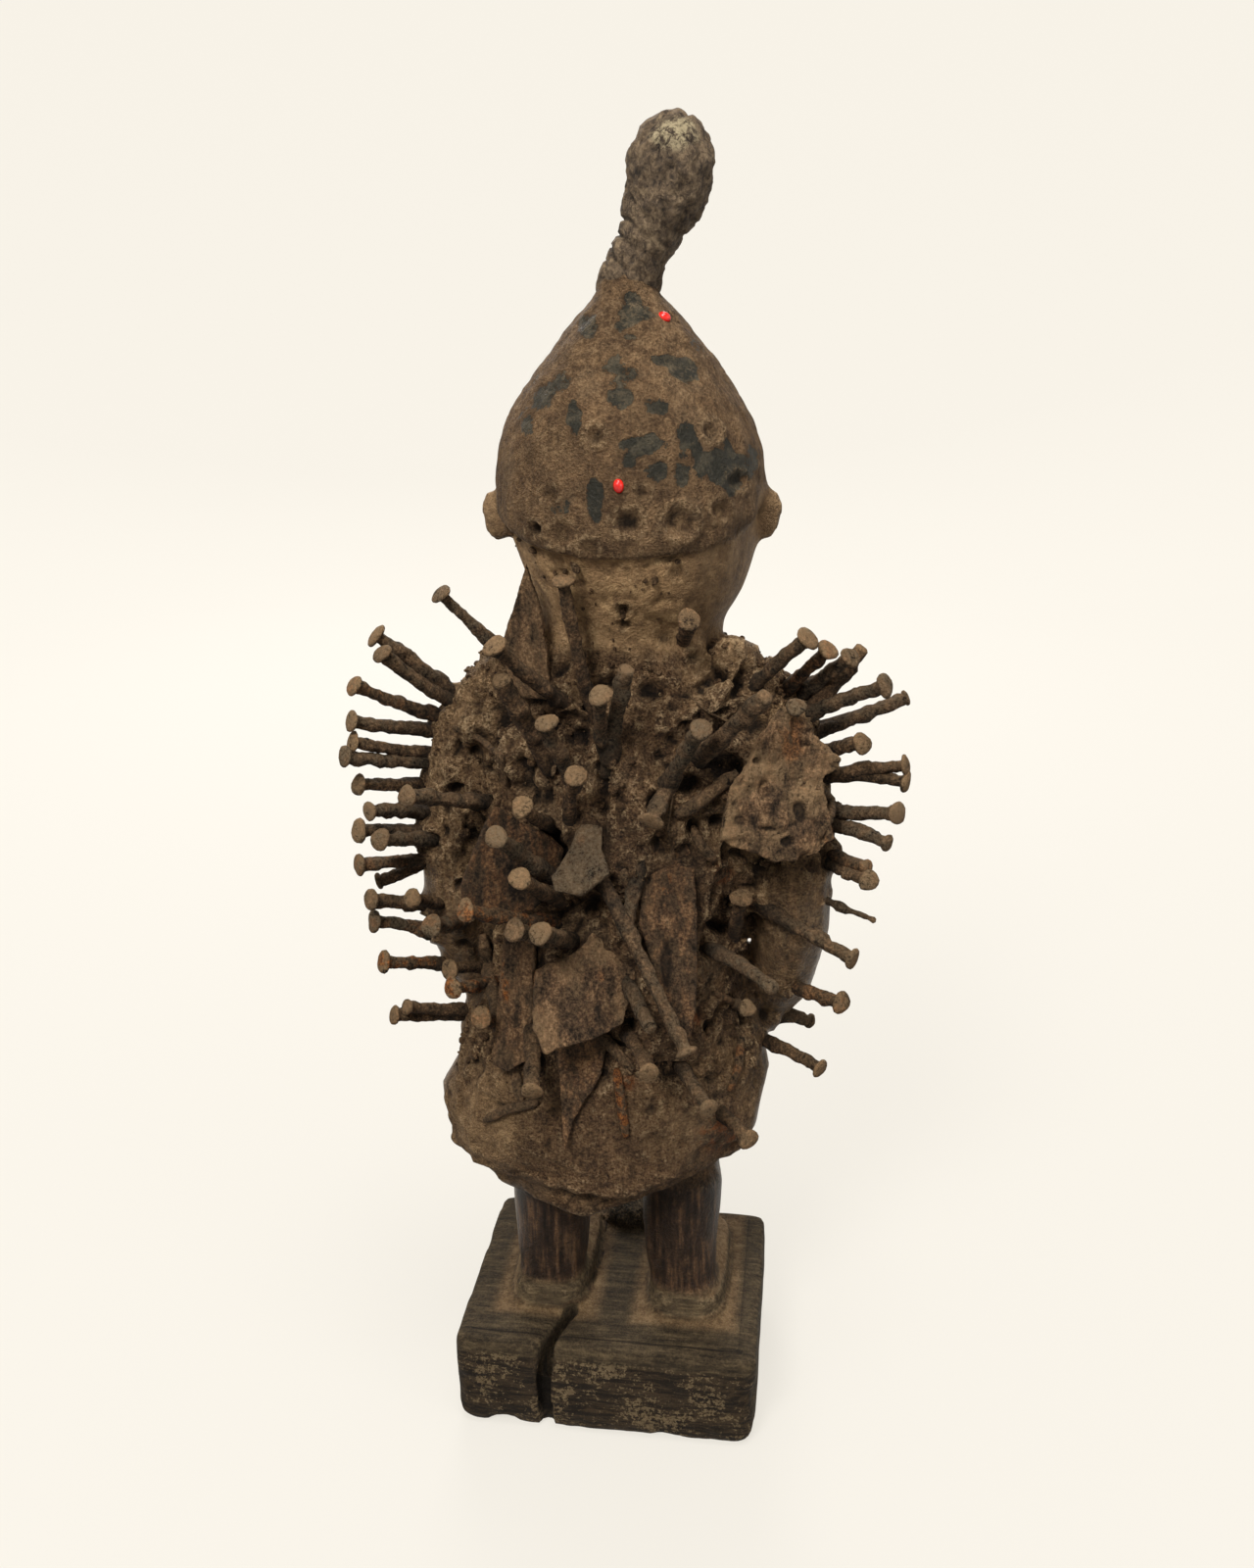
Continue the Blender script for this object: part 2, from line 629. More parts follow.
def carving_looks():
    """Crust, bare wood, the block's weathered wood, and slate-grey patches over them."""
    look = Looks("carving")
    broad = look.noise(26, 3)
    middle = look.noise(7, 4, 0.7)
    crumb = look.noise(2.3, 4, 0.75)
    fine = look.noise(1.15, 3, 0.65)
    grain = look.noise(3, 3, 0.6, (1, 1, 9))
    rough = 0.8 - look.mask("smooth") * 0.55
    crumb_soft = (crumb - 0.5) * rough + 0.5
    mottle = middle * 0.45 + crumb_soft * 0.55
    earth = ((0.36, 38, 28, 19), (0.45, 82, 61, 42), (0.56, 120, 92, 64), (0.68, 160, 130, 95))
    shade = look.between(broad, 0.4, 0.62) * 0.55
    colour = look.mix(shade, look.ramp(mottle, *earth), linear(66, 49, 34))
    colour = look.mix(look.between(broad, 0.46, 0.36) * 0.3, colour, linear(110, 92, 70))
    colour = look.mix(look.between(crumb_soft, 0.41, 0.34), colour, linear(24, 18, 12))

    streaks = grain * 0.7 + middle * 0.3
    wood = look.ramp(streaks, (0.36, 26, 18, 13), (0.5, 52, 38, 28), (0.62, 90, 66, 46))
    dusty = look.between(middle + broad * 0.5, 0.78, 0.95)
    wood = look.mix(dusty * 0.4, wood, linear(88, 68, 49))
    colour = look.mix(look.mask("polish"), colour, wood)

    along = look.noise(2.2, 4, 0.65, (9, 1, 1))
    planed = mottle * 0.5 + along * 0.5
    old = look.ramp(planed, (0.38, 34, 28, 20), (0.49, 64, 53, 38), (0.6, 94, 79, 57))
    flakes = look.between(crumb * 0.7 + along * 0.3 + broad * 0.5, 0.78, 0.84)
    bare = look.mix(look.between(along, 0.4, 0.6), linear(30, 23, 16), linear(64, 51, 36))
    old = look.mix(look.mask("flaky"), old, look.mix(flakes, bare, linear(116, 98, 72)))
    colour = look.mix(look.mask("block"), colour, old)
    tanned = look.ramp(mottle, (0.4, 84, 64, 44), (0.5, 124, 98, 68), (0.6, 156, 128, 92))
    colour = look.mix(look.mask("tan") * 0.95, colour, tanned)

    ragged = look.mask("slate") + (crumb * 1.2 + middle * 0.9 - 1.05)
    slate_edge = look.between(ragged, 0.47, 0.54)
    slate = look.mix(look.between(middle, 0.46, 0.64), linear(42, 40, 33), linear(68, 62, 50))
    colour = look.mix(slate_edge, colour, slate)
    warm = look.mask("warm") * look.between(middle, 0.44, 0.56)
    colour = look.mix(warm, colour, linear(122, 74, 42))
    dust = look.mask("dust") * look.between(crumb, 0.46, 0.6)
    colour = look.mix(dust, colour, linear(158, 133, 100))

    lift = look.mask("pale") * 0.8 + 1.0
    speck = (fine * 0.7 + grain * 0.4 - 0.55) * rough * (3.6 - slate_edge * 3.0)
    colour = look.mix(1.0, colour, (speck + 1.0) * lift, "MULTIPLY")
    line = look.between(look.mask("line_gap"), 1.3, 0.5)
    dark = look.math("MAXIMUM", look.mask("low") * 0.92, line * 0.8)
    colour = look.mix(dark, colour, linear(16, 12, 9))

    shine = look.math("MAXIMUM", look.mask("polish"), slate_edge * 0.6)
    relief = (crumb + fine + grain * 0.5) * (rough * (1.0 - shine * 0.7)) - slate_edge * 0.3
    gloss = {"Normal": look.bumps(relief, 4.4), "Specular IOR Level": 0.11}
    return look.finish(colour, look.between(shine, 2.4, -1.4), gloss)


def iron_looks(name, dusty, streaks, speckle):
    """Rusted iron: how dusty it gets, its noise's stretch and how speckled it is."""
    look = Looks(name)
    middle = look.noise(6, 4, 0.7, streaks)
    fine = look.noise(1.4, 4, 0.75)
    mottle = middle * 0.6 + fine * 0.4
    iron = ((0.38, 28, 21, 15), (0.46, 64, 49, 35), (0.54, 94, 73, 53), (0.64, 140, 114, 84))
    dust = look.mask("dust") * look.between(mottle, 0.34, 0.48)
    colour = look.mix(dust * dusty, look.ramp(mottle, *iron), linear(146, 118, 85))
    grey = look.mask("grey") * look.between(fine, 0.4, 0.55)
    colour = look.mix(grey, colour, linear(98, 86, 68))
    rust = look.mask("rust") * look.between(middle, 0.46, 0.58)
    orange = look.mix(look.between(fine, 0.4, 0.6), linear(78, 44, 24), linear(156, 94, 44))
    colour = look.mix(rust, colour, orange)
    speck = (fine - 0.5) * ((1.0 - look.mask("dust") * 0.5) * speckle) + 1.0
    colour = look.mix(1.0, colour, speck * (look.mask("pale") + 1.0), "MULTIPLY")
    colour = look.mix(look.mask("low") * 0.9, colour, linear(16, 12, 9))
    return look.finish(colour, 0.85, {"Normal": look.bumps(fine, 2.6), "Specular IOR Level": 0.12})


def finial_looks():
    """Cloth and cord stiff with resin, with a straw-coloured patch."""
    look = Looks("finial")
    streak = look.noise(2.2, 5, 0.72, (1, 1, 1.2), 0.6)
    middle = look.noise(7, 4, 0.7)
    mottle = streak * 0.6 + middle * 0.4
    resin = ((0.38, 36, 28, 20), (0.47, 78, 63, 47), (0.56, 112, 93, 70), (0.66, 142, 122, 94))
    straw = look.mask("straw") * look.between(mottle, 0.42, 0.56)
    colour = look.mix(straw, look.ramp(mottle, *resin), linear(160, 146, 114))
    colour = look.mix(look.mask("low") * 0.9, colour, linear(20, 16, 12))
    return look.finish(colour, 0.78, {"Normal": look.bumps(streak, 2.0), "Specular IOR Level": 0.25})


def seed_looks():
    """A glossy red seed coat."""
    look = Looks("seed")
    colour = look.mix(look.between(look.noise(3, 2), 0.45, 0.7), linear(232, 30, 18), linear(196, 16, 10))
    return look.finish(colour, 0.22, {})


def floor_looks():
    """A floor that is lit a little and glows towards the photograph's own background."""
    look = Looks("floor")
    lit = tuple(c * FLOOR_LIT for c in FLOOR_COLOUR[:3]) + (1.0,)
    near, far = FLOOR_GLOW
    glow = look.mask("far") * (far - near) + near
    return look.finish(lit, 0.9, {"Emission Color": FLOOR_COLOUR, "Emission Strength": glow})


# The carving


def hollows(points, faces, edges, times=(3, 16)):
    """Outward directions, and how deep each point lies among its neighbours: near ones, then wider."""
    normals = normals_of(points, faces)
    depths, level = [], points
    for count in times:
        level = relax(level, edges, count)
        depths.append(((level - points) * normals).sum(1))
    return normals, *depths


def rim_level(y):
    """How high the cap's tilted rim is above the block."""
    return CAP_RIM - CAP_TILT * (y - CAP_CENTRE[1]) / CAP_HALF


def regions(p):
    """Which part of the carving each point belongs to, as shares from 0 to 1."""
    x, y, h = p[:, 0], p[:, 1], p[:, 2] - BLOCK_TOP
    ear = fade(np.abs(x - CAP_CENTRE[0]), CAP_HALF - 4, CAP_HALF) * fall(h, *EAR_TOP)
    cap = fade(h - rim_level(y), -1, 2) * (1 - ear)
    trunk = fade(h, *HIPS) * fall(h, *NECK)
    head = fade(h, *CHIN) * (1 - cap)
    high_side = fade(h, 236, 262) * fade(y, -22, -6)
    low_arm = fade(np.abs(x), 62, 70) * fade(h, 150, 165) * fall(h, 225, 250)
    crust = trunk * np.maximum(high_side, fade(y, 0, 18) * (1 - low_arm))
    nape = head * fade(y, 8, 30) * fall(-x, 26, 42)
    block = fall(h, *BLOCK_END)
    return dict(cap=cap, block=block, trunk=trunk, head=head, ear=ear, crust=crust, nape=nape)


def crack_free(p):
    """1 away from the block's edges, 0 on them."""
    x, y, z = np.abs(p[:, 0]), np.abs(p[:, 1]), p[:, 2]
    gaps = np.sort(np.stack([BLOCK_HALF[0] - x, BLOCK_HALF[1] - y, np.minimum(z, BLOCK_TOP - z)], 1), axis=1)
    return fade(gaps[:, 0] + gaps[:, 1], 2, 14)


# What fills a nail's socket, as radii and sides, and the lumps of crust round the nail: how many, how far
# out, how far down and how large
PLUG_RADII, PLUG_SIDES = (3.3, 3.4, 3.2), 10
LUMPS, LUMPS_OUT, LUMPS_DOWN, LUMP_SIZE = (3, 6), 4.4, 2.5, (2.2, 4.4)


def socket_fillings(nails):
    """What closes the sockets under the skin, and the crust that has gathered round each nail."""
    rng = np.random.default_rng(5)
    parts = []
    for nail in nails:
        foot = nail["top"] - nail["along"] * nail["length"]
        ground = foot + nail["along"] * SINK
        steps = [foot - nail["along"] * 0.5, (foot + ground) / 2, ground - nail["along"]]
        parts.append(tube(steps, PLUG_RADII, PLUG_SIDES))
        s, t = sides_of(nail["along"])
        for _ in range(rng.integers(*LUMPS)):
            a = rng.uniform(0, 2 * math.pi)
            out = LUMPS_OUT * (math.cos(a) * s + math.sin(a) * t)
            spot = ground + out - nail["along"] * rng.uniform(0, LUMPS_DOWN)
            parts.append((BALL[2][0] * rng.uniform(*LUMP_SIZE, 3) + spot, BALL[2][1]))
    return parts


def slot_fillings():
    """Crust that closes the slots behind the blades that lie flat."""
    parts = []
    for name in BLADE_NODES:
        if name == "blade_flap":
            continue
        points, faces = read_node(name)
        outward = [face for face in flat_faces(points, faces) if face[1][:2] @ face[2][:2] > 0]
        n = max(outward, key=lambda face: face[0])[1]
        middle = points.mean(0)
        parts.append((middle + (points - middle) * 0.93 - n * 2.2, faces))
    return parts


def collar():
    """Crust that runs from the crown up the foot of the finial, highest behind."""
    sides = 32
    lifts = np.arange(-16, 15, 2.5)
    a = np.arange(sides) * 2 * math.pi / sides
    reach = 2.5 + 9 * np.exp(-((np.minimum(np.abs(a - math.pi / 2), 3) / 0.75) ** 2))
    outer = COLLAR + 0.045 * np.minimum(lifts, 0)[:, None] ** 2
    radii = np.where(lifts[:, None] <= reach, outer, COLLAR - 4)
    centres = [(CAP_CENTRE[0] + 1.2 - 0.1 * z, 0, BLOCK_TOP + FIGURE_TOP + z) for z in lifts]
    return tube(centres, radii, sides)


def distance_to(points, names, reach):
    """How far points are from the nearest of those solids, no further than reach."""
    nearest = np.full(len(points), float(reach))
    for name in names:
        solid, faces = read_node(name)
        tree = tree_of(solid, faces)
        close = np.all((points > solid.min(0) - reach) & (points < solid.max(0) + reach), axis=1)
        for i in np.nonzero(close)[0]:
            found = tree.find_nearest(points[i], reach)
            if found[3] is not None:
                nearest[i] = min(nearest[i], found[3])
    return nearest


def face_split(x, z, points):
    """How far points are from the split that wanders down the block's near face."""
    return np.abs(x - np.interp(z, *FACE_CRACK) + 0.8 * soft_noise(points, 7, 93))


def smooth_carving(nails):
    """The carving's skin with its facets smoothed away, while its rims and features stay."""
    heap = BALL[3][0] * MOUND_HALF + MOUND_AT, BALL[3][1]
    volume = gather([read_node("figure"), heap, collar(), *socket_fillings(nails), *slot_fillings()])
    points, faces = reskin(*volume, CARVING_GRAIN)
    edges = edges_of(faces)
    r = regions(points)
    y, h = points[:, 1], points[:, 2] - BLOCK_TOP
    near_rim = fall(np.abs(h - rim_level(y)), 4, 12)
    face = fade(-y, 42, 50) * fade(h, 340, 346) * fall(h, 408, 414)
    keep = np.maximum.reduce([near_rim * r["head"], near_rim * r["cap"], r["ear"], face, fall(h, 10, 18)])
    pull = 0.5 * (1 - 0.9 * keep) * (1 - 0.8 * r["crust"] * fade(h, 140, 165))
    pull = pull * (1 - 0.5 * fade(h, 62, 70) * fall(h, 96, 110) * fade(y, 25, 40))
    pull = pull * (1 - 0.85 * fade(h, 305, 320) * fall(h, 352, 362) * fade(y, 5, 15))
    points = relax(points, edges, CARVING_PASSES, pull[:, None])
    normals = normals_of(points, faces)
    limbs = fade(h, 14, 24) * fall(h, 66, 78)
    points = points + normals * (0.9 * limbs + 0.5 * r["cap"] + 0.5 * r["head"] * (1 - face))[:, None]
    return points, faces, edges, normals


def crust_relief(points, at, seen, crust, by_blade):
    """Lumps, pits and ropes of crust, which sinks beside the blades."""
    relief = crust * (
        2.2 * clouds(points, 15, 3) + 2.0 * clouds(points, 6.5, 11, 2) + soft_noise(points, 3.4, 23)
        - 4.8 * fade(clouds(points, 12, 31, 2), 0.12, 0.45) - 1.4 * ridges(points, 17, 41) - 0.4
    )
    relief = relief * (1 - 0.75 * by_blade) - 2.8 * by_blade * crust
    edge = 0.3 * soft_noise(points, 6, 47)
    for shapes, sign in ((PITS, -1), (BULKS, 1)):
        for *spot, depth in shapes:
            relief += sign * seen * depth * fall(away(at, *spot) + edge, 0.3, 1.2)
    left, top, right, slope, space, count = ROPES
    roped = seen * fade(at[0], left, left + 30) * fall(at[0], right - 30, right)
    for k in range(count):
        d = (at[1] - top - slope * (at[0] - left) - k * space) / space + 0.5 * soft_noise(points, 18, 53 + k)
        relief += 0.9 * roped * np.exp(-((d / 0.33) ** 2))
    return relief


def slate_share(points, at):
    """How bare and slate-grey each point of the cap is."""
    slate = np.zeros(len(points))
    edge = 0.6 * soft_noise(points, 9, 71) + 0.45 * soft_noise(points, 4.2, 73)
    for x0, y0, x1, y1, bare in SLATE_PATCHES:
        d = away(at, (x0 + x1) / 2, (y0 + y1) / 2, (x1 - x0) / 2, (y1 - y0) / 2)
        slate = np.maximum(slate, bare * fall(d + edge, 0.4, 1.4))
    return slate


def dents(points, at, seen):
    """The relief of the dents and holes, and how much each point belongs to a shallow one."""
    relief, crater = np.zeros(len(points)), np.zeros(len(points))
    edge = 0.15 * soft_noise(points, 4, 77)
    for *spot, depth in DENTS:
        d = away(at, *spot) + edge
        lip = np.exp(-((d - 1.15) / 0.2) ** 2)
        relief += seen * (0.45 * depth * lip - depth * fall(d, 0.45, 0.95))
        if depth < DEEP_DENT:
            crater = np.maximum(crater, seen * np.maximum(lip, fall(d, 0.3, 0.6)))
    return relief, crater


def block_relief(points, block):
    """Adze marks, worn and chipped edges, and the flaky near face with its split."""
    x, y, z = points.T
    adze = 0.45 * clouds(points, 19, 81, 2) + 0.2 * soft_noise(points * (1, 1, 0.4), 6, 83)
    worn = (1 - crack_free(points)) * (1 - 0.8 * fade(z, 28, 42))
    chips = worn * (0.6 + 3.2 * fade(clouds(points, 17, 87, 2), -0.1, 0.5))
    near_face = fade(y, 56, 59) * fall(z, 42, 47)
    relief = block * (adze - chips) + near_face * 0.7 * clouds(points, 6, 89, 2)
    return relief - 5 * fall(face_split(x, z, points), 0.8, 4) * fade(y, 52, 57) * fall(z, 44, 50)


def finger_lines(points):
    """How deep the lines between fingers and between toes are."""
    x, y, h = points[:, 0], points[:, 1], points[:, 2] - BLOCK_TOP
    fingers = fade(-y, 38, 46) * fade(h, 124, 130) * fall(h, 148, 153) * fade(np.abs(x), 41, 47)
    toes = fade(-y, 36, 42) * fall(h, 9, 12) * fade(h, -0.5, 1.5)
    between_fingers = fade(np.cos(h * 2 * math.pi / FINGER), 0.55, 1)
    between_toes = fade(np.cos(x * 2 * math.pi / TOE), 0.6, 1)
    return fingers * between_fingers + 1.1 * toes * between_toes


def line_gap(points, normals):
    """How far points are from the block's lines: its border, the crack's tip and the near face's split."""
    x, y, z = points.T
    face_line = np.where((y > 50) & (z < BLOCK_TOP - 2), 0.45 * face_split(x, z, points), NO_LINE)
    in_from_edge = BLOCK_HALF - np.abs(points[:, :2])
    on_near_sides = np.stack((x < 0, y > 0), 1)
    gap = np.where(on_near_sides, np.abs(in_from_edge - LINE_INSET), NO_LINE).min(1)
    gap = np.where(in_from_edge.min(1) > LINE_INSET - 3, gap, NO_LINE)
    edge = 0.9 * soft_noise(points, 9, 91)
    for a, b in zip(CRACK_TIP, CRACK_TIP[1:]):
        a, b = np.array(a), np.array(b)
        share = np.clip(((points[:, :2] - a) @ (b - a)) / ((b - a) @ (b - a)), 0, 1)[:, None]
        off = points[:, :2] - a - share * (b - a) + edge[:, None]
        gap = np.minimum(gap, 1.4 * np.linalg.norm(off, axis=1))
    on_top = (normals[:, 2] > 0.7) & (z > BLOCK_TOP - 4) & (z < BLOCK_TOP + 3)
    return np.minimum(np.where(on_top, gap, NO_LINE), face_line)


def by_feet(points, flat_up):
    """How much points belong to a foot, to the dust round the feet and to the mound between the toes."""
    x, y, level = points[:, 0], points[:, 1], points[:, 2] - BLOCK_TOP
    off_foot = np.min([
        np.maximum(np.abs(x - foot) - FOOT_HALF[0], np.abs(y - FOOT_Y) - FOOT_HALF[1]) for foot in FOOT_X
    ], axis=0)
    on_foot = fall(off_foot, 1, 2.5) * fade(level, 0.8, 2) * fall(level, 11, 15)
    dust_ring = fall(off_foot, 2, 10) * fall(level, 0, 1.5) * flat_up
    by_mound = away((x, y), *MOUND_AT[:2], *MOUND_HALF[:2])
    return on_foot, dust_ring, fall(by_mound, 1.0, 1.2) * fall(level, 11, 14) * (1 - on_foot)


def stains(points, at, seen):
    """How rusty and how tan the crust is."""
    warm, tanned = np.zeros(len(points)), np.zeros(len(points))
    for spot in RUSTY_SPOTS:
        warm = np.maximum(warm, seen * fall(away(at, *spot), 0.3, 1))
    edge = 0.3 * soft_noise(points, 12, 79)
    for *spot, share in TAN_SPOTS:
        tanned = np.maximum(tanned, share * seen * fall(away(at, *spot) + edge, 0.4, 1.1))
    return warm, tanned


def carving_shape(nails):
    """The carving's skin with all its relief, and the masks that its material reads."""
    points, faces, edges, normals = smooth_carving(nails)
    r = regions(points)
    y, h = points[:, 1], points[:, 2] - BLOCK_TOP
    at = in_photo(points)
    seen = to_camera(points, normals)
    crust = np.maximum(r["crust"] * (0.3 + 0.7 * fade(h, 122, 160)), 0.3 * r["nape"])
    flat_blades = [name for name in BLADE_NODES if name != "blade_lumpy"]
    by_blade = fall(distance_to(points, flat_blades, 6), 1.0, 5.5)
    slate = slate_share(points, at) * (seen * r["cap"])
    dented, crater = dents(points, at, seen)

    relief = crust_relief(points, at, seen, crust, by_blade)
    plain = 1 - np.maximum(crust, r["block"])
    relief += plain * (0.35 * clouds(points, 16, 51) + 0.16 * soft_noise(points, 5, 57))
    relief += r["cap"] * (0.7 * clouds(points, 11, 61) + 0.45 * soft_noise(points, 4.2, 67))
    relief += dented - 0.5 * slate
    relief += block_relief(points, r["block"])
    relief -= 3 * r["trunk"] * fall(h, 70, 92) * fade(y, -10, 10)
    relief -= finger_lines(points)
    points = points + normals * relief[:, None]
    points[:, 2] += SEAT_LIFT * fade(h, 48, 62) * fall(h, 74, 108) * fade(y, 0, 14)
    points[:, 2] = np.maximum(points[:, 2], 0)

    normals, near, far, wide = hollows(points, faces, edges, (3, 16, 50))
    y, z = points[:, 1], points[:, 2]
    flat_up = fade(normals[:, 2], 0.5, 0.8)
    on_foot, dust_ring, mound = by_feet(points, flat_up)
    warm, tanned = stains(points, at, seen)
    head_side = r["head"] * fade(y, -40, 10)
    side_dust = 0.75 * head_side + r["ear"] * (1 - r["block"]) * (0.5 - 0.4 * fade(h, 350, 365))
    polish = np.clip(1 - np.maximum.reduce([r["crust"], r["cap"], r["nape"], r["block"]]), 0, 1)
    masks = {
        "polish": polish * (1 - on_foot) * (1 - mound) * (1 - 0.6 * head_side),
        "slate": slate,
        "block": np.maximum.reduce([r["block"] * (1 - on_foot), on_foot * (1 - flat_up), mound]),
        "smooth": np.clip(np.maximum.reduce([
            0.6 * r["cap"], r["nape"], 0.8 * r["block"], r["head"], on_foot, 0.6 * tanned,
        ]), 0, 1),
        "flaky": fade(y, 52, 57) * fall(z, 43, 47),
        "warm": warm,
        "pale": np.clip(
            r["nape"] * (0.35 + 0.65 * fade(h, 348, 385)) + 0.3 * side_dust + 0.2 * r["crust"]
            + 0.7 * on_foot * (1 - flat_up), 0, 1,
        ),
        "low": (1 - 0.7 * on_foot) * (1 - 0.8 * mound) * np.clip(
            0.5 * fade(near, 0.08, 0.6) + 0.6 * fade(far, 0.3, 2.2)
            + 0.5 * fade(wide, 0.8, 4) * (1 - r["block"]) * (1 - r["head"]) + 0.6 * by_blade * crust, 0, 1,
        ),
        "tan": np.clip(np.maximum.reduce([
            0.9 * r["nape"], 0.7 * tanned, 0.8 * side_dust, on_foot * flat_up, 0.9 * dust_ring,
            0.25 * r["cap"], 0.6 * crater * r["cap"],
        ]), 0, 1),
        "dust": (1 - 0.85 * r["block"]) * (
            0.5 * fade(-near, 0.05, 0.45) + 0.25 * fade(normals[:, 2], 0.35, 0.9)
            + 0.35 * fade(-far, 0.3, 2.0) * r["crust"]
        ),
        "line_gap": line_gap(points, normals),
    }
    return points, faces, normals, masks, crust * (1 - by_blade)


def clods(skin, faces, normals, crust, count, sizes, level, seed, long):
    """Loose-looking lumps of crust, half sunk in the skin, drawn out long in one direction."""
    rng = np.random.default_rng(seed)
    at = skin[faces[:, 0]]
    weight = crust[faces[:, 0]] * (0.25 + fade(clouds(at, 20, 101, 2), -0.2, 0.5))
    weight = weight * fade(at[:, 2] - BLOCK_TOP, 118, 160)
    base, triangles = BALL[level]
    parts = []
    for f in rng.choice(len(faces), count, p=weight / weight.sum()):
        size = sizes[0] * (sizes[1] / sizes[0]) ** rng.beta(1.3, 3.2)
        shape = base * rng.uniform(0.65, 1.3, 3) * size
        along = unit(normals[faces[f][0]] + rng.normal(0, 0.9, 3))
        shape = shape + along * (shape @ along)[:, None] * (long - 1)
        shape = shape * (1 + 0.28 * soft_noise(base * 10 + f, 9, seed))[:, None]
        parts.append((shape + skin[faces[f]].mean(0) + normals[faces[f][0]] * size * 0.25, triangles))
    return gather(parts)


# Nails


def rod_shape(tree, radius, lift, rust, *places):
    """A crusted rod on the carving's skin, through places in the photograph."""
    spots = []
    for x, y in places:
        ray = FORWARD + RIGHT * (x - PHOTO_W / 2) / FOCAL_PX - UPWARD * (y - PHOTO_H / 2) / FOCAL_PX
        hit, out, *_ = tree.ray_cast(Vector(CAMERA_AT), Vector(unit(ray)))
        spots.append(np.array(hit) + np.array(out) * lift)
    spots = np.array(spots)
    way = np.concatenate([[0], np.cumsum(np.linalg.norm(np.diff(spots, axis=0), axis=1))])
    t = np.linspace(0, way[-1], max(6, int(way[-1] / ROD_STEP)))
    centres = np.stack([np.interp(t, way, spots[:, k]) for k in range(3)], 1)
    for _ in range(4):
        centres[1:-1] = (centres[:-2] + centres[2:] + 2 * centres[1:-1]) / 4
    ends = np.minimum(1, 0.55 + 0.45 * np.minimum(t, way[-1] - t) / (1.5 * radius))
    points, faces = tube(centres, radius * ends, ROD_SIDES)
    rough = 0.25 * radius * clouds(points, 4.5, 161, 2) + 0.1 * radius * soft_noise(points, 2, 163)
    points = points + normals_of(points, faces) * rough[:, None]
    flat = np.ones(len(points))
    return points, faces, {
        "dust": 0.3 * flat, "grey": 0 * flat, "rust": rust * flat, "low": 0.2 * flat, "pale": -0.1 * flat,
    }


# The space between a nail's rings, and its head as shares of its thickness and of its radius
NAIL_STEP = 1.5
NAIL_HEAD = ((0.0, 0.66), (0.22, 0.92), (0.45, 1.0), (0.7, 0.97), (0.9, 0.8), (1.0, 0.45))


def nail_shape(rng, nail):
    """A hand-made nail, rusted and crusted, with its sunk end."""
    along, top, length, headed = nail["along"], nail["top"], nail["length"], nail["headed"]
    shank = nail["shank"] * rng.uniform(0.93, 1.07)
    wide = nail["wide"] * rng.uniform(0.94, 1.06)
    foot = top - along * length
    thick = rng.uniform(2.2, 3.2)
    stop = length - thick if headed else length
    t = np.arange(0, stop, NAIL_STEP)
    out = np.clip((t - SINK) / (length - SINK), 0, 1)
    crusted = rng.uniform(0.2, 1.5) * np.exp(-np.clip(t - SINK, 0, None) / rng.uniform(5, 16))
    radii = shank * (1 - 0.06 * out) + crusted * (t > SINK * 0.6)
    if headed:
        t = np.concatenate([t, [stop + thick * share for share, _ in NAIL_HEAD]])
        radii = np.concatenate([radii, [wide * share for _, share in NAIL_HEAD]])
    else:
        t = np.concatenate([t, [length - 0.8, length]])
        radii = np.concatenate([radii, [shank * 0.92, shank * 0.6]])
    s, u = sides_of(along)
    lean = rng.uniform(-1.2, 1.2, 2)
    bow = np.sin(math.pi * np.clip((t - SINK) / (length - SINK), 0, 1))[:, None]
    centres = foot + along * t[:, None] + bow * (lean[0] * s + lean[1] * u)
    a = np.arange(NAIL_SIDES) * 2 * math.pi / NAIL_SIDES
    square = 1 + 0.05 * np.cos(4 * a + rng.uniform(0, 6))
    dented = 1 + 0.07 * np.sin(2 * a + rng.uniform(0, 6)) + 0.05 * np.sin(3 * a + rng.uniform(0, 6))
    on_head = (t > stop - 0.01)[:, None] if headed else np.zeros((len(t), 1), bool)
    grid = radii[:, None] * np.where(on_head, dented, square)
    points, faces = tube(centres, grid, NAIL_SIDES)
    normals = normals_of(points, faces)
    lumps = 0.75 * clouds(points, 5, 111, 2) + 0.5 * soft_noise(points, 2.1, 113)
    knots = 1.8 * fade(soft_noise(points, 7, 117), 0.2, 0.7)
    body = np.clip(((points - foot) @ along - SINK) / 3, 0, 1)
    body = body * (1 - 0.6 * fade((points - top) @ along, -thick - 2, -thick))
    points = points + normals * ((lumps + knots * nail["rough"]) * body)[:, None]
    share = np.clip(((points - foot) @ along - SINK) / (length - SINK), 0, 1)
    tip = fade(share, 0.93, 0.98) * rng.uniform(0.1, 0.8)
    masks = {
        "dust": np.clip(0.25 * share + tip + 0.3 * normals[:, 2], 0, 1),
        "grey": np.full(len(points), rng.choice([0, 0, 0.3, 0.6])),
        "rust": np.full(len(points), nail["rust"]) + 0.2 * (rng.uniform() < 0.15),
        "low": 0.6 * fall(share, 0.0, 0.4),
        "pale": -0.22 * fall(share, 0.88, 0.96),
    }
    return points, faces, masks


def join_shapes(shapes):
    """Several (points, faces, masks) as one."""
    points, faces = gather([(p, f) for p, f, _ in shapes])
    return points, faces, {key: np.concatenate([m[key] for _, _, m in shapes]) for key in shapes[0][2]}


# Blades


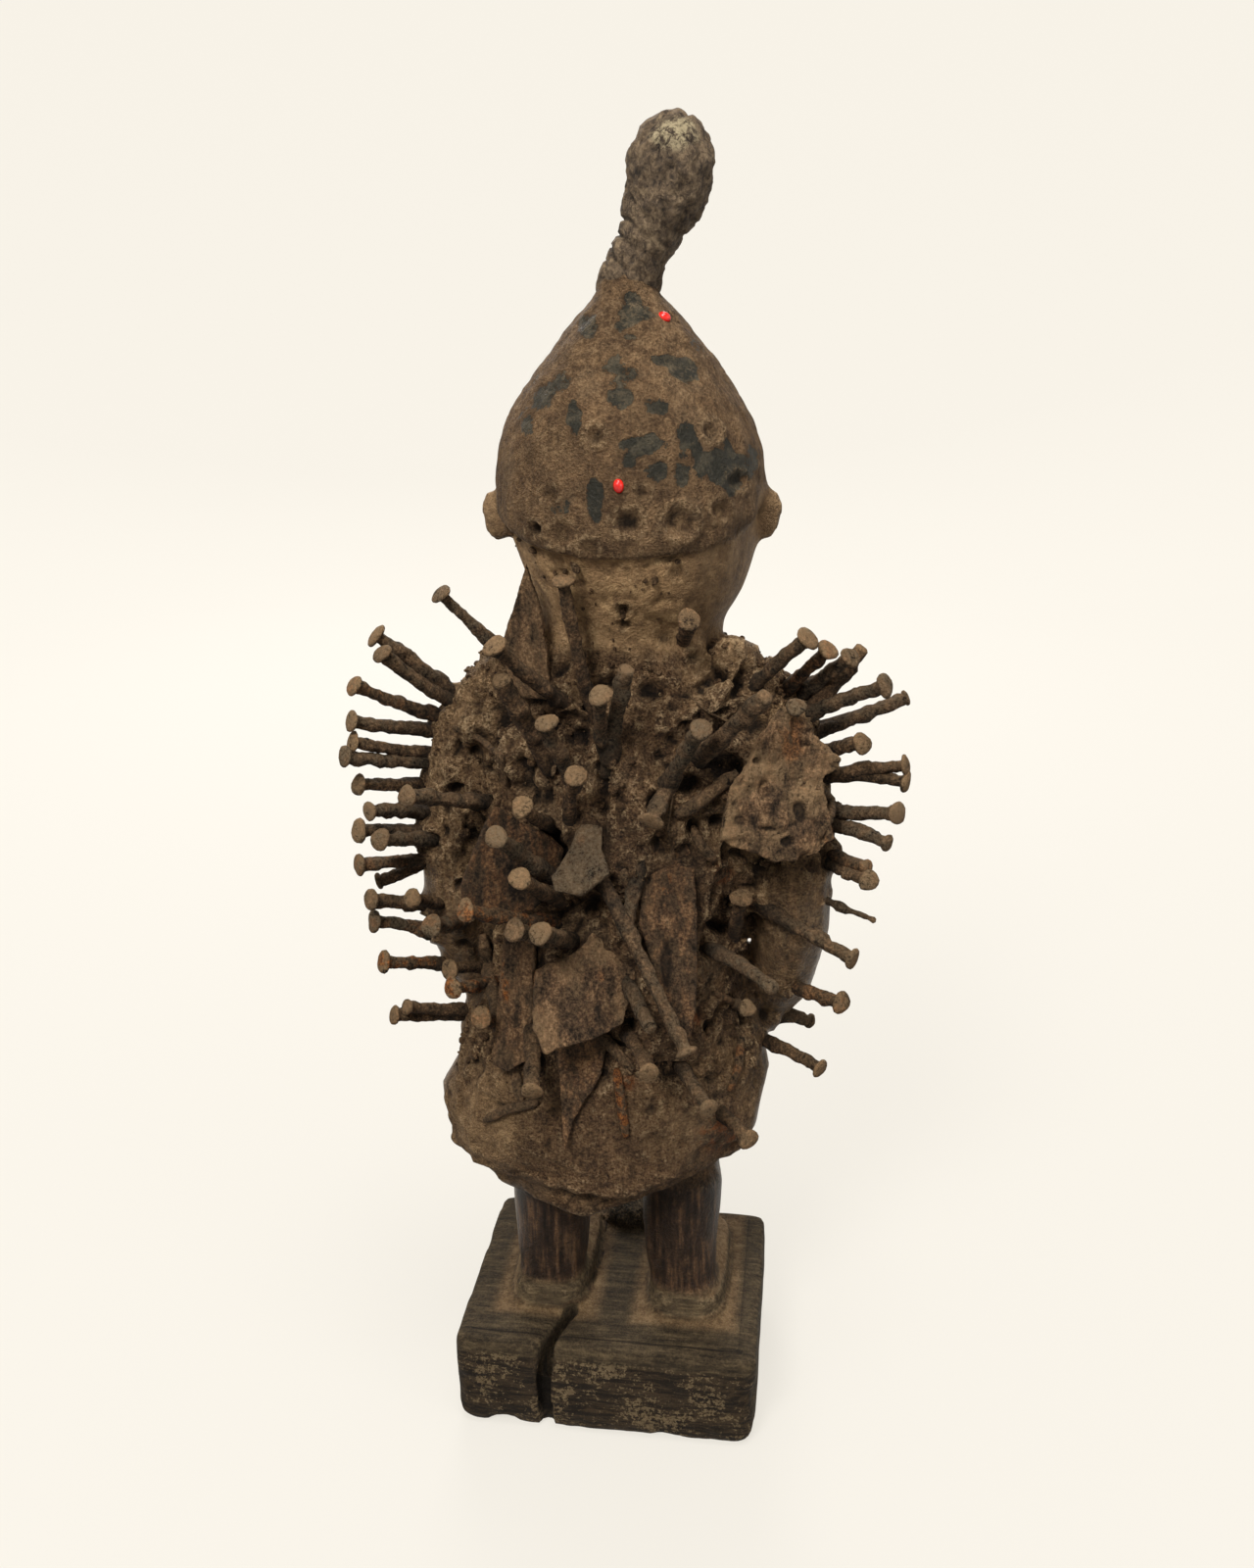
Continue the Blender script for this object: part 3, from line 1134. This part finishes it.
def blade_shape(name):
    """A rusted plate with rust stripes, holes and dusty edges."""
    points, faces = reskin(*read_node(name), PLATE_GRAIN)
    edges = edges_of(faces)
    points = relax(points, edges, PLATE_PASSES)
    normals, near, far = hollows(points, faces, edges)
    seed, kind = sum(map(ord, name)), name.removeprefix("blade_")
    rough, dusty, brown, grey, pale = BLADES[kind]
    at = in_photo(points)
    pitted = np.zeros(len(points))
    edge = 0.25 * soft_noise(points, 4, seed + 41)
    for owner, *spot, share in BLADE_HOLES:
        if owner == kind:
            pitted = np.maximum(pitted, share * fall(away(at, *spot) + edge, 0.5, 1.1))
    pitted *= to_camera(points, normals)
    ragged = 0.9 * fade(-far, 0.3, 0.9) * (clouds(points, 7, seed + 3, 2) - 0.2)
    points = points + normals * (
        ragged - 1.6 * pitted - 0.35 * rough * ridges(points, 11, seed + 15)
        + rough * (
            0.55 * clouds(points, 13, seed, 2) + 0.5 * clouds(points, 4.5, seed + 5, 2)
            - 0.6 * fade(soft_noise(points, 5, seed + 9), 0.45, 0.8)
        )
    )[:, None]
    normals, near, far = hollows(points, faces, edges)
    rusty = brown + 0.4 * fade(soft_noise(points * (1, 1, 0.4), 9, seed + 31), 0.45, 0.9)
    edge = 0.3 * soft_noise(points, 5, seed + 43)
    for owner, *spot in BLADE_RUST:
        if owner == kind:
            rusty = np.maximum(rusty, fall(away(at, *spot) + edge, 0.5, 1.2))
    flat = np.ones(len(points))
    masks = {
        "dust": np.maximum(
            fade(clouds(points, 14, seed + 21), -0.35, 0.45) * dusty, 0.7 * fade(-near, 0.12, 0.45),
        ),
        "grey": grey * flat,
        "rust": np.clip(rusty, 0, 1),
        "low": np.clip(fade(near, 0.04, 0.3) * 0.8 + 0.9 * pitted, 0, 1),
        "pale": pale * flat,
    }
    return points, faces, masks


# Finial and seeds


def finial_shape():
    """The wrapped stalk and bulb, with irregular folds and creases."""
    points, faces = reskin(*read_node("finial"), FINIAL_GRAIN)
    edges = edges_of(faces)
    points = relax(points, edges, FINIAL_PASSES)
    normals = normals_of(points, faces)
    x, h = points[:, 0], points[:, 2] - BLOCK_TOP - FIGURE_TOP
    wrapped = fade(h, 6, 12) * fall(h, 36, 46)
    left_side = fade(x + 0.35 * h, -2, 9)
    phase = (h - 0.65 * x) * 2 * math.pi / FOLD_STEP + 3.4 * soft_noise(points, 15, 131)
    folds = fade(np.cos(phase), 0.45, 1) * fade(soft_noise(points, 9, 133), -0.5, 0.3)
    creases = ridges(points * (1, 1, 0.7), 8, 149)
    points = points + normals * (
        0.9 + wrapped * (0.3 - 1.7 * folds) * (0.35 + 0.65 * left_side) + 1.2 * clouds(points, 10, 137, 2)
        + 0.6 * clouds(points, 3.4, 139, 2) - 1.2 * creases * (1 - 0.6 * wrapped * left_side)
    )[:, None]
    normals, near, far = hollows(points, faces, edges)
    d = away(in_photo(points), *STRAW_AT, *STRAW_HALF) + 0.35 * soft_noise(points, 6, 141)
    masks = {
        "low": np.clip(fade(near, 0.06, 0.4) * 0.7 + fade(far, 0.2, 1.2) * 0.5, 0, 1),
        "straw": 1 - fade(d, 0.6, 1.2),
    }
    return points, faces, masks


def seed_shape(name):
    """A smooth seed as large as the solid and turned as it is."""
    points, _ = read_node(name)
    middle = points.mean(0)
    _, _, axes = np.linalg.svd(points - middle)
    base, faces = BALL[3]
    return middle + (base * SEED_HALF) @ axes, faces, {}


# The whole object

NODES = sorted(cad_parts)
NAIL_NODES = [name for name in NODES if name.startswith("nail")]
BLADE_NODES = [name for name in NODES if name.startswith("blade")]
CARVING = carving_looks()
IRON = iron_looks("nail", 0.8, (1, 1, 1), 2.8)
PLATE = iron_looks("blade", 0.7, (1, 1, 2.6), 1.7)

axes_of = {name: nail_axes(name) for name in NAIL_NODES}
for name, nails in axes_of.items():
    for nail in nails:
        heads = [radius for (least, most), radius in HEADED if least <= nail["flat"] <= most]
        nail["headed"] = bool(heads)
        nail["wide"] = heads[0] if heads else 0
        nail["shank"] = SHANK if heads else nail["flat"] * 0.8
        nail["rust"] = 0.8 if "orange" in name or name == "nail_left_12" else 0.12
        nail["rough"] = 0.6

points, faces, normals, masks, crust = carving_shape([n for nails in axes_of.values() for n in nails])
place("carving", (points, faces, masks), CARVING, "carving", "figure")
carving_tree = tree_of(points, faces)
for name, *kind in CLODS:
    loose, triangles = clods(points, faces, normals, crust, *kind)
    flat = {key: np.zeros(len(loose)) for key in masks}
    flat["dust"] = fade(clouds(loose, 9, 151, 2), 0, 0.7)
    flat["line_gap"] += NO_LINE
    place(name, (loose, triangles, flat), CARVING, "carving")

rng = np.random.default_rng(11)
for name in NAIL_NODES:
    place(f"{name}_iron", join_shapes([nail_shape(rng, nail) for nail in axes_of[name]]), IRON, "nail", name)
more = []
for at, h, bearing, rise, out, shank, wide, rust in MORE_NAILS:
    along = heading(bearing, rise)
    more.append(nail_shape(rng, {
        "along": along, "top": seat(carving_tree, at, h) + along * out, "length": out + SINK,
        "shank": shank, "wide": wide, "headed": bool(wide), "rust": rust, "rough": 1.0,
    }))
place("nails_more", join_shapes(more), IRON, "nail")
place("rods_more", join_shapes([rod_shape(carving_tree, *rod) for rod in RODS]), IRON, "nail")

for name in BLADE_NODES:
    place(f"{name}_iron", blade_shape(name), PLATE, "blade", name)
place("finial_wrap", finial_shape(), finial_looks(), "finial", "finial")
seed_material = seed_looks()
for name in ("seed_back", "seed_crown"):
    place(f"{name}_coat", seed_shape(name), seed_material, "seed", name)


# Floor, light and camera


def sweep():
    """A round pale floor that bends up into a backdrop all round the figure."""
    path = [(0.01, 0.0)] + [(r, 0.0) for r in np.linspace(0.3, FLOOR_FLAT, 6)]
    for step in range(1, 13):
        a = math.pi / 2 * step / 12
        path.append((FLOOR_FLAT + FLOOR_BEND * math.sin(a), FLOOR_BEND * (1 - math.cos(a))))
    path.append((FLOOR_FLAT + FLOOR_BEND, BACKDROP_TOP))
    a = np.arange(BACKDROP_SIDES) * 2 * math.pi / BACKDROP_SIDES
    rings = [np.stack([r * np.cos(a), r * np.sin(a), z + 0 * a], 1) for r, z in path]
    points = np.concatenate(rings) / MM
    mesh = make_mesh("floor", points, wall_between(len(path), BACKDROP_SIDES)[:, [0, 3, 2, 1]])
    far = np.clip(np.hypot(points[:, 0], points[:, 1]) * MM / FLOOR_FAR, 0, 1)
    mesh.attributes.new("far", "FLOAT", "POINT").data.foreach_set("value", far.astype(np.float32))
    mesh.materials.append(floor_looks())
    floor = put("floor", mesh)
    floor.visible_diffuse = False
    floor.visible_shadow = False


def softbox(name, place_at, size, watts):
    """A round soft lamp that faces the figure's middle."""
    lamp = bpy.data.lights.new(name, "AREA")
    lamp.shape = "DISK"
    lamp.size = size
    lamp.energy = watts
    thing = put(name, lamp)
    thing.location = place_at
    thing.visible_camera = False
    thing.rotation_euler = (Vector(LIT_AT) - Vector(place_at)).to_track_quat("-Z", "Y").to_euler()


def studio():
    """The floor, the lamps, the world's light and the photograph's camera."""
    sweep()
    for lamp in LAMPS:
        softbox(*lamp)
    world = bpy.data.worlds.new("studio")
    world.use_nodes = True
    ground = world.node_tree.nodes["Background"]
    ground.inputs["Color"].default_value = FLOOR_COLOUR
    ground.inputs["Strength"].default_value = WORLD_GLOW
    bpy.context.scene.world = world
    lens = bpy.data.cameras.new("photo")
    lens.sensor_width = SENSOR
    lens.lens = FOCAL_PX * SENSOR / PHOTO_H
    camera = put("photo", lens)
    camera.location = Vector(CAMERA_AT) * MM
    camera.rotation_euler = Vector(FORWARD).to_track_quat("-Z", "Y").to_euler()
    bpy.context.scene.camera = camera
    bpy.context.scene.view_settings.view_transform = "Standard"


studio()
